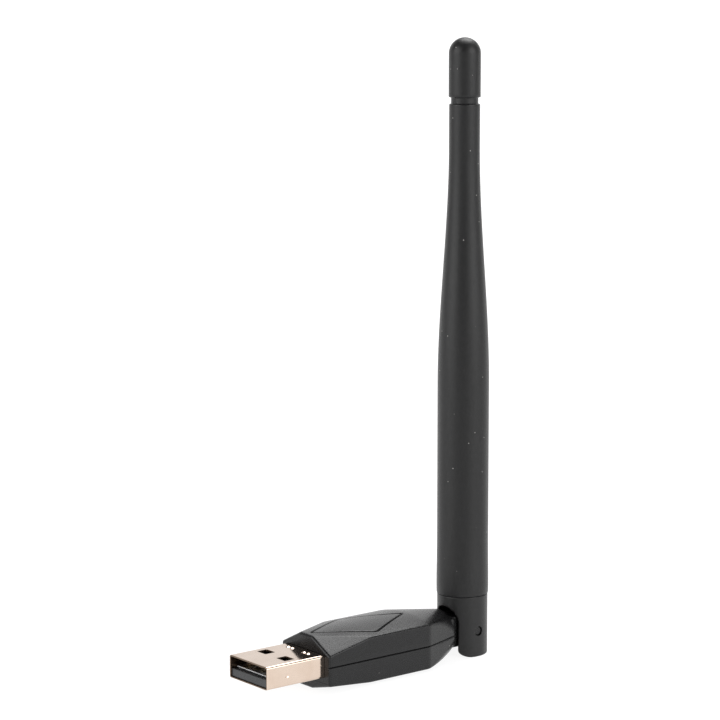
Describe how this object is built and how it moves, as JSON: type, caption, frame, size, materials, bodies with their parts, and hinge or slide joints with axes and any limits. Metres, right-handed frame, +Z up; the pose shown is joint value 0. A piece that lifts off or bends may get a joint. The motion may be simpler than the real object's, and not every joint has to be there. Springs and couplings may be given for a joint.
{
  "type": "usb wifi adapter",
  "caption": "USB network adapter: a faceted black housing with a type A plug at one end and a tapered whip antenna on a fork that tilts and swivels at the other.",
  "frame": {"origin": "centre of the bounding box in X and Y, on the surface that the adapter stands on", "axes": "+Z up, along the upright antenna; +X from the plug's mouth towards the hinge; Y across the width, and the housing is the same on both sides of Y = 0"},
  "size_m": [0.0588, 0.0152, 0.1238],
  "materials": {
    "housing_plastic": "black moulded plastic with a fine matt texture",
    "antenna_plastic": "very dark grey moulded plastic, satin",
    "plug_metal": "pale rose-gold plated steel, polished",
    "contact_metal": "gold plated",
    "tongue_plastic": "dark grey moulded plastic",
    "board": "green solder mask over glass fibre",
    "chip_plastic": "black epoxy",
    "component_metal": "plain metal can",
    "ceramic": "tan ceramic",
    "led_lens": "clear resin",
    "cable_jacket": "black fluoropolymer jacket",
    "sleeve_brass": "plain drawn brass",
    "copper_wire": "bare copper"
  },
  "bodies": {
    "dongle": {"housing_top_shell": "housing_plastic", "housing_bottom_shell": "housing_plastic", "top_inlay_plate": "housing_plastic", "usb_plug_shell": "plug_metal", "usb_insulator": "tongue_plastic", "usb_contact_ground": "contact_metal", "usb_contact_data_plus": "contact_metal", "usb_contact_data_minus": "contact_metal", "usb_contact_vbus": "contact_metal", "circuit_board": "board", "wifi_chip": "chip_plastic", "crystal_oscillator": "component_metal", "voltage_regulator": "chip_plastic", "power_inductor": "chip_plastic", "status_led": "led_lens", "capacitor_1": "ceramic", "capacitor_2": "ceramic", "capacitor_3": "ceramic", "capacitor_4": "ceramic", "resistor_1": "chip_plastic", "resistor_2": "chip_plastic", "resistor_3": "chip_plastic", "coax_in_housing": "cable_jacket"},
    "swivel": {"swivel_knuckle": "housing_plastic", "hinge_pin_near": "housing_plastic", "hinge_pin_far": "housing_plastic", "coax_in_swivel": "cable_jacket"},
    "antenna": {"antenna_fork": "antenna_plastic", "antenna_sheath": "antenna_plastic", "coax_in_antenna": "cable_jacket", "radiator_sleeve": "sleeve_brass", "radiating_element": "copper_wire"}
  },
  "joints": [
    {"name": "antenna_swivel", "type": "hinge", "parent": "dongle", "child": "swivel", "pos_m": [0.01832, 0, 0.00517], "axis": [1, 0, 0], "range_deg": [-90, 90]},
    {"name": "antenna_tilt", "type": "hinge", "parent": "swivel", "child": "antenna", "pos_m": [0.02419, 0, 0.00527], "axis": [0, 1, 0], "range_deg": [0, 90]}
  ]
}
